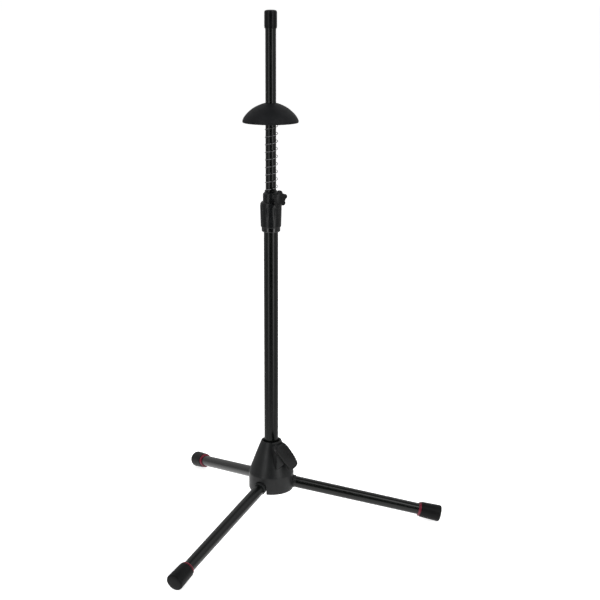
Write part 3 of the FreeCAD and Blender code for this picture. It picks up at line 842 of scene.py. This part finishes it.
def boss_radius(delta, z):
    """The boss's radius at an angle delta from its middle, 0 where there is no boss."""
    if abs(delta) > rad(40) or z < 38.0 or z > 76.0:
        return 0.0
    low_side, high_side = boss_span(min(74.6, max(40.2, z)))
    if delta > 0 and high_side < 0:
        return 0.0
    limit = high_side if delta > 0 else low_side
    face = BOSS_FACE / cos(delta)
    r = min(face, abs(limit) / max(1e-6, abs(sin(delta))))
    depth = boss_inside(r * sin(delta) * 0.999, z)
    if face <= r + 1e-6:
        from_edge = boss_inside(BOSS_FACE * sin(delta) / cos(delta), z)
        from_edge = max(0.0, min(BOSS_FILLET, from_edge))
        r -= BOSS_FILLET - sqrt(BOSS_FILLET ** 2 - (BOSS_FILLET - from_edge) ** 2)
    if depth < -0.02:
        # just above or below the outline: fall quickly back to the cone
        base = hub_radius(z)
        return base + (r - base) * clamp(1.0 + depth / 0.7)
    return r


def hub_point(r, theta, z):
    return Vector((r * cos(theta), r * sin(theta), HUB_Z + z)) * MM


def hub_outer(theta, z):
    bulge = boss_radius(fold(theta - rad(BOSS_AZIMUTH)), z)
    return hub_point(max(hub_radius(z), bulge), theta, z)


def arch_point(psi, grow):
    """(side, height) on the arch grown outwards by grow, at psi from its crown."""
    return (ARCH_R + grow) * sin(psi), ARCH_CENTRE + (ARCH_R + grow) * cos(psi)


def hub_column(bm, theta, theta_in, low, low_in, skirted):
    """One upright section of the shell. outline runs from the wall's outer foot over the top to
    its inner foot. A skirted column also carries on down to the bottom rim."""
    column = {}
    if skirted:
        column["skirt_out"] = [bm.verts.new(hub_outer(theta, z)) for z in SKIRT_Z]
        column["skirt_in"] = [bm.verts.new(hub_point(CAVITY_R, theta_in, z)) for z in SKIRT_Z]
        column["foot"] = [column["skirt_out"][0], column["skirt_in"][0]]
    rows = [low + (WALL_TOP - low) * i / WALL_STEPS for i in range(WALL_STEPS + 1)]
    outline = [bm.verts.new(hub_outer(theta, z)) for z in rows + UPPER_Z]
    outline += [bm.verts.new(hub_point(r, theta, z)) for r, z in HUB_INSIDE]
    for i in reversed(range(WALL_STEPS)):
        t = i / WALL_STEPS
        z = low_in + (WALL_TOP - low_in) * t
        outline.append(bm.verts.new(hub_point(CAVITY_R, theta_in + (theta - theta_in) * t, z)))
    column["outline"] = outline
    if skirted:
        column["skirt_out"].append(outline[0])
        column["skirt_in"].append(outline[-1])
    return column


def skirt_stations(column, side):
    return [
        (outer, inner, side, z)
        for outer, inner, z in zip(column["skirt_out"], column["skirt_in"], SKIRT_Z)
    ]


def arch_reveal(bm, centre, arch):
    """The inner surface of one arch, with a rounded outer edge."""
    out = Vector((cos(centre), sin(centre), 0))
    tangent = Vector((-sin(centre), cos(centre), 0))
    first, last = arch[0][1], arch[-1][1]
    # (outer vertex, inner vertex, side, height), where side 0 is the curve and gives psi instead
    stations = skirt_stations(first, -1)
    stations += [(column["outline"][0], column["outline"][-1], 0, psi) for psi, column in arch]
    stations += skirt_stations(last, 1)[::-1]
    lines = []
    for outer, inner, side, where in stations:
        line = [outer]
        for phi in (rad(30), rad(60), rad(90)):
            grow, depth = ARCH_ROUND * (1 - sin(phi)), ARCH_ROUND * (1 - cos(phi))
            if side == 0:
                u, z = arch_point(where, grow)
            else:
                u, z = side * (ARCH_R + grow), where
            rho = sqrt(hub_radius(z) ** 2 - u * u) - depth
            point = (out * rho + tangent * u + Vector((0, 0, HUB_Z + z))) * MM
            line.append(bm.verts.new(point))
        line.append(inner)
        lines.append(line)
    for a, b in zip(lines, lines[1:]):
        for i in range(len(a) - 1):
            bm.faces.new((a[i], a[i + 1], b[i + 1], b[i]))
    first["foot"] = lines[0]
    last["foot"] = lines[-1]


def hub_shell():
    bm = bmesh.new()
    columns = []
    arches = []
    half = asin((ARCH_R + ARCH_ROUND) / SKIRT_R)
    for name, azimuth in LEGS.items():
        centre = rad(azimuth)
        arch = []
        for i in range(ARCH_SEGS + 1):
            psi = rad(-90 + 180 * i / ARCH_SEGS)
            side, low = arch_point(psi, ARCH_ROUND)
            side_in, low_in = arch_point(psi, 0.0)
            theta = centre + asin(side / hub_radius(low))
            theta_in = centre + asin(side_in / CAVITY_R)
            column = hub_column(bm, theta, theta_in, low, low_in, i in (0, ARCH_SEGS))
            arch.append((psi, column))
            columns.append(column)
        arches.append((centre, arch))
        start, end = centre + half, centre + rad(120) - half
        segs = BOSS_WALL_SEGS if name == "front" else WALL_SEGS
        for i in range(1, segs):
            theta = start + (end - start) * (i / segs)
            columns.append(hub_column(bm, theta, theta, ARCH_CENTRE, ARCH_CENTRE, True))

    neighbours = list(zip(columns, columns[1:] + columns[:1]))
    for p, q in neighbours:
        a, b = p["outline"], q["outline"]
        for corners in zip(a, b, b[1:], a[1:]):
            bm.faces.new(corners)
        if "foot" in p and "foot" in q:
            a, b = p["skirt_out"], q["skirt_out"]
            c, d = p["skirt_in"], q["skirt_in"]
            for i in range(len(SKIRT_Z)):
                bm.faces.new((a[i], b[i], b[i + 1], a[i + 1]))
                bm.faces.new((c[i + 1], d[i + 1], d[i], c[i]))
    for centre, arch in arches:
        arch_reveal(bm, centre, arch)
    # underside of the skirt
    for p, q in neighbours:
        if "foot" in p and "foot" in q:
            bm.faces.new(p["foot"] + q["foot"][::-1])
    return finish_mesh("hub_shell", bm, "hub_plastic", 38)


settle(hub_shell(), "hub_plastic", "base", "hub_housing")

# ------------------------------------------------------------------ hub ears
EAR_INNER = 6.2  # an ear's near face from the leg's middle plane
EAR_OUTER = 9.2
# (distance from the post's axis, height above HUB_Z, corner radius)
EAR_LINE = rounded(
    [
        (13.0, 1.9), (24.0, 1.9), (28.6, 3.0, 2.5), (31.8, 6.0, 2.5), (32.9, 10.6, 3.0),
        (30.4, 33.0), (13.0, 33.0),
    ],
    closed=True,
)


def hub_ears():
    """The six pivot ears under the cone, each a rounded plate."""
    bm = bmesh.new()
    for azimuth in LEGS.values():
        angle = rad(azimuth)
        out, side = (cos(angle), sin(angle), 0), (-sin(angle), cos(angle), 0)
        place = Place((0, 0, HUB_Z), out, (0, 0, 1), side)
        for z0, z1 in ((-EAR_OUTER, -EAR_INNER), (EAR_INNER, EAR_OUTER)):
            ear = plate(EAR_LINE, z0, z1, edge=0.5, place=place, segments=2)
            mesh = bpy.data.meshes.new("ear_part")
            ear.to_mesh(mesh)
            ear.free()
            bm.from_mesh(mesh)
            bpy.data.meshes.remove(mesh)
    return finish_mesh("hub_pivot_ears", bm, "hub_plastic", 40)


settle(hub_ears(), "hub_plastic", "base")

# ------------------------------------------------------------------ clamp lever
# A flat paddle with rounded rims and a round boss on the side towards the post.
LEVER_PLACE = radial(BOSS_AZIMUTH, 126.5, -54.0)
LEVER_BACK = 34.2  # distances from the post's axis
LEVER_FRONT = 41.5
LEVER_LINE = rounded(
    [
        (-20.5, -2.6, 2.0), (-18.6, -5.2, 2.0), (-16.0, -6.4, 2.0), (28.4, -6.4, 2.0),
        (30.2, -5.4, 1.6), (31.1, -3.4, 1.6), (31.8, 4.8, 3.0), (30.4, 8.8, 3.5),
        (27.4, 10.8, 6.0), (18.0, 12.7, 14.0), (6.0, 13.7, 14.0), (-7.0, 14.1, 14.0),
        (-14.4, 13.5, 5.0), (-18.4, 11.6, 2.5), (-21.6, 1.4, 1.5), (-21.8, -0.6, 1.5),
    ],
    closed=True, step=10,
)
LEVER_BOSS = rounded([(0.0, 32.75), (6.8, 32.75, 0.3), (6.8, 34.6), (0.0, 34.6)], step=30)


def lever():
    bm = plate(LEVER_LINE, LEVER_BACK, LEVER_FRONT, edge=1.5, place=LEVER_PLACE, segments=5)
    turned(bm, LEVER_PLACE, LEVER_BOSS, 64, closed=False)
    return finish_mesh("clamp_lever", bm, "knob_plastic", 40)


settle(lever(), "knob_plastic", "clamp", "hub_lever")

# ------------------------------------------------------------------ legs
# Places along a leg are measured from the point where the leg axes meet.
LEG_R = 9.1
LEG_END = 278.0
SHOE_MOUTH = 248.5
RING_START = 244.5

LEG_PIPE = tube_profile(8.1, LEG_R, 36.27, LEG_END, lip=0.2)
LEG_RING = rounded(
    [
        (LEG_R, RING_START), (9.8, RING_START, 0.4), (11.15, 245.5, 0.5), (11.65, 247.4, 0.3),
        (10.6, 247.6, 0.3), (10.6, SHOE_MOUTH), (LEG_R, SHOE_MOUTH),
    ],
    step=12,
)
LEG_SHOE = rounded(
    [
        (LEG_R, SHOE_MOUTH), (11.5, SHOE_MOUTH, 0.5), (12.25, 249.3, 0.7), (12.45, 254.0),
        (13.0, 270.0), (13.25, 279.3, 1.6), (12.4, 281.2, 1.6), (8.25, 281.75, 4.0),
        (0.0, 282.0), (0.0, LEG_END), (LEG_R, LEG_END),
    ],
    step=9,
)

for name, azimuth in LEGS.items():
    body = "leg_" + name
    place = leg_frame(azimuth)
    settle(
        lathe("leg_pipe_" + name, LEG_PIPE, "gloss_black_paint", place=place),
        "gloss_black_paint", body, "leg_tube_" + name,
    )
    settle(
        lathe("trim_ring_" + name, LEG_RING, "ring_crimson", 112, place),
        "ring_crimson", body, "foot_ring_" + name,
    )
    settle(
        lathe("foot_shoe_" + name, LEG_SHOE, "foot_rubber", 128, place, on_floor=True),
        "foot_rubber", body, "foot_cap_" + name,
    )

# ------------------------------------------------------------------ finishes of the CAD nodes
CAD_MATERIALS = {
    "post_bush": "bush_plastic",
    "leg_pivot_pins": "plain_steel",
    "clamp_insert": "insert_brass",
    "hub_lever_screw": "plain_steel",
    "leg_knuckle_right": "hub_plastic",
    "leg_knuckle_rear": "hub_plastic",
    "leg_knuckle_front": "hub_plastic",
    "post_foot_plug": "bush_plastic",
    "clutch_bush": "bush_plastic",
    "knob_insert": "insert_brass",
    "star_knob_stud": "plain_steel",
    "rod_guide_bush": "bush_plastic",
    "cone_bush": "bush_plastic",
}
for name, material in CAD_MATERIALS.items():
    mesh = nodes[name].data
    mesh.materials.clear()
    mesh.materials.append(MATERIALS[material])
    shade(mesh, 34)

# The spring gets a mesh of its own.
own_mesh(spring)

# ------------------------------------------------------------------ floor and surroundings
# Brightness of the bright strips by bearing from the post, in degrees: 0 is towards the camera,
# -180..180 runs left to right.
STRIPS = [
    (-180, 0.09), (-100, 0.09), (-60, 0.055), (-51, 0.12), (-45, 0.46), (-35, 0.46),
    (-28, 0.06), (-20, 0.0), (20, 0.0), (28, 0.06), (35, 0.60), (45, 0.60), (51, 0.16),
    (60, 0.07), (100, 0.11), (180, 0.11),
]
STRIP_POWER = 3.0
# Brightness of the paper near the post, and of the strips' mirror image, by distance over 2 m.
REACH = 2.0  # metres
NEAR_PAPER = [
    (0.0, 1.0), (0.11, 0.95), (0.16, 0.60), (0.21, 0.42), (0.28, 0.32), (0.37, 0.20),
    (0.53, 0.045), (0.80, 0.0), (1.0, 0.0),
]
STRIP_GAIN = [(0.0, 0.0), (0.17, 0.0), (0.30, 0.25), (0.50, 0.70), (0.75, 1.0), (1.0, 1.0)]
# Brightness of the surroundings in reflections, front to back, and of the strips by elevation,
# straight down to straight up.
SKY = [(0.0, 0.01), (0.3, 0.02), (0.5, 0.075), (0.75, 0.10), (1.0, 0.10)]
STRIP_HEIGHT = [(0.0, 1.0), (0.62, 1.0), (0.76, 1.5), (0.91, 1.5), (0.95, 0.3), (1.0, 0.1)]
# Brightness of the surroundings for all other light, front to back.
AMBIENT = [(0.0, 0.04), (1.0, 1.0), (0.30, 0.10), (0.62, 0.55)]
BACKDROP = 1.05  # brightness seen by the camera
FLOOR_HALF = 90.0  # metres
FLOOR_CELLS = 24
FLOOR_COLOUR = 0.86
FLOOR_GLOW = 0.66


def strip_pattern(tree, x, y):
    bearing = maths(tree, "ARCTAN2", x, maths(tree, "MULTIPLY", y, -1.0))
    share = remap(tree, bearing, -pi, pi, 0.0, 1.0)
    steps = [((degrees + 180.0) / 360.0, value) for degrees, value in STRIPS]
    return maths(tree, "MULTIPLY", value_curve(tree, share, steps), STRIP_POWER)


def floor_paper():
    """Pale glowing paper. Glossy rays instead see pale paper close by, two bright strips further
    out and dark in between."""
    material = bpy.data.materials.new("floor_paper")
    tree = empty_tree(material)
    output = add_node(tree, "OutputMaterial")
    paper = add_node(tree, "BsdfDiffuse", {"Color": grey(FLOOR_COLOUR)})
    glow = add_node(tree, "Emission", {"Color": grey(1.0), "Strength": FLOOR_GLOW})
    plain = add_node(tree, "AddShader", {0: paper.outputs[0], 1: glow.outputs[0]})
    position = add_node(tree, "NewGeometry").outputs["Position"]
    parts = add_node(tree, "SeparateXYZ", {0: position})
    distance = add_node(tree, "VectorMath", {0: position}, operation="LENGTH").outputs["Value"]
    far = remap(tree, distance, 0.0, REACH, 0.0, 1.0)
    base = value_curve(tree, far, NEAR_PAPER)
    gain = value_curve(tree, far, STRIP_GAIN)
    strips = strip_pattern(tree, parts.outputs["X"], parts.outputs["Y"])
    lit = maths(tree, "ADD", base, maths(tree, "MULTIPLY", gain, strips))
    mirror = add_node(tree, "Emission", {"Color": lit})
    glossy = add_node(tree, "LightPath").outputs["Is Glossy Ray"]
    choose = add_node(
        tree, "MixShader", {"Fac": glossy, 1: plain.outputs[0], 2: mirror.outputs[0]}
    )
    tree.links.new(choose.outputs[0], output.inputs["Surface"])
    return material


def floor():
    bm = bmesh.new()
    lines = [
        -FLOOR_HALF + 2 * FLOOR_HALF * i / FLOOR_CELLS for i in range(FLOOR_CELLS + 1)
    ]
    for x0, x1 in zip(lines, lines[1:]):
        for y0, y1 in zip(lines, lines[1:]):
            corners = ((x0, y0), (x1, y0), (x1, y1), (x0, y1))
            bm.faces.new([bm.verts.new((x, y, 0.0)) for x, y in corners])
    bmesh.ops.remove_doubles(bm, verts=bm.verts, dist=1e-6)
    mesh = bpy.data.meshes.new("floor")
    bm.to_mesh(mesh)
    bm.free()
    mesh.materials.append(floor_paper())
    ob = bpy.data.objects.new("floor", mesh)
    scene.collection.objects.link(ob)


def studio():
    """A white backdrop for the camera, strips for glossy rays and a soft ramp for the rest."""
    world = bpy.data.worlds.new("studio")
    scene.world = world
    tree = empty_tree(world)
    output = add_node(tree, "OutputWorld")
    ambient = add_node(tree, "Background", {"Strength": 1.0})
    backdrop = add_node(tree, "Background", {"Color": grey(1.0), "Strength": BACKDROP})
    camera_mix = add_node(tree, "MixShader")
    path = add_node(tree, "LightPath")
    direction = add_node(tree, "TexCoord").outputs["Generated"]
    parts = add_node(tree, "SeparateXYZ", {0: direction})
    depth = remap(tree, parts.outputs["Y"], -1.0, 1.0, 0.0, 1.0)

    ramp_node = add_node(tree, "ValToRGB", {"Fac": depth})
    ramp = ramp_node.color_ramp
    for element, (position, value) in zip(ramp.elements, AMBIENT[:2]):
        element.position = position
        element.color = grey(value)
    for position, value in AMBIENT[2:]:
        ramp.elements.new(position).color = grey(value)
    set_inputs(tree, ambient, {"Color": ramp_node.outputs["Color"]})

    mirrored = add_node(tree, "Background")
    sky = value_curve(tree, depth, SKY)
    elevation = remap(tree, parts.outputs["Z"], -1.0, 1.0, 0.0, 1.0)
    strips = strip_pattern(tree, parts.outputs["X"], parts.outputs["Y"])
    height = value_curve(tree, elevation, STRIP_HEIGHT)
    glints = maths(tree, "MULTIPLY", strips, height)
    set_inputs(tree, mirrored, {"Color": maths(tree, "ADD", sky, glints)})

    glossy_mix = add_node(tree, "MixShader", {
        "Fac": path.outputs["Is Glossy Ray"], 1: ambient.outputs[0], 2: mirrored.outputs[0],
    })
    set_inputs(tree, camera_mix, {
        "Fac": path.outputs["Is Camera Ray"], 1: glossy_mix.outputs[0], 2: backdrop.outputs[0],
    })
    tree.links.new(camera_mix.outputs[0], output.inputs["Surface"])


floor()
studio()

# ------------------------------------------------------------------ lights
# Metres and watts.
STRIP_DISTANCE = 2.3
STRIP_TURN = 41  # degrees to either side of the front


def softbox(name, position, target, width, height, power):
    light = bpy.data.lights.new(name, "AREA")
    light.shape = "RECTANGLE"
    light.size = width
    light.size_y = height
    light.energy = power
    ob = bpy.data.objects.new(name, light)
    ob.location = position
    aim = Vector(target) - Vector(position)
    ob.rotation_euler = aim.to_track_quat("-Z", "Y").to_euler()
    scene.collection.objects.link(ob)
    ob.visible_glossy = False


for name, side in (("strip_left", -1), ("strip_right", 1)):
    angle = rad(-90 + side * STRIP_TURN)
    softbox(
        name,
        position=(STRIP_DISTANCE * cos(angle), STRIP_DISTANCE * sin(angle), 1.05),
        target=(0, 0, 0.55), width=0.55, height=2.3, power=42.0,
    )
softbox(
    "top_box", position=(0.0, -0.5, 2.9), target=(0, 0, 0.3), width=2.4, height=2.4, power=34.0
)

# ------------------------------------------------------------------ camera
CAMERA_AT = (0.0219, -1.8015, 0.8310)  # metres
CAMERA_FORWARD = (0.0123, 0.9687, -0.2480)
CAMERA_RIGHT = (0.99992, -0.01274, 0.0)
CAMERA_ROLL = 0.0046  # radians

camera = bpy.data.cameras.new("camera")
camera.lens = 72.0
camera.sensor_width = 36.0
camera.sensor_fit = "HORIZONTAL"
camera.clip_end = 200.0
camera_ob = bpy.data.objects.new("camera", camera)
scene.collection.objects.link(camera_ob)
forward = Vector(CAMERA_FORWARD).normalized()
level = Vector(CAMERA_RIGHT).normalized()
right, up = turn(level, level.cross(forward).normalized(), CAMERA_ROLL)
pose = Matrix((right, up, -forward)).transposed().to_4x4()
pose.translation = CAMERA_AT
camera_ob.matrix_world = pose
scene.camera = camera_ob

scene.view_settings.view_transform = "Standard"
scene.view_settings.look = "None"
scene.view_settings.exposure = 0.0
scene.view_settings.gamma = 1.0
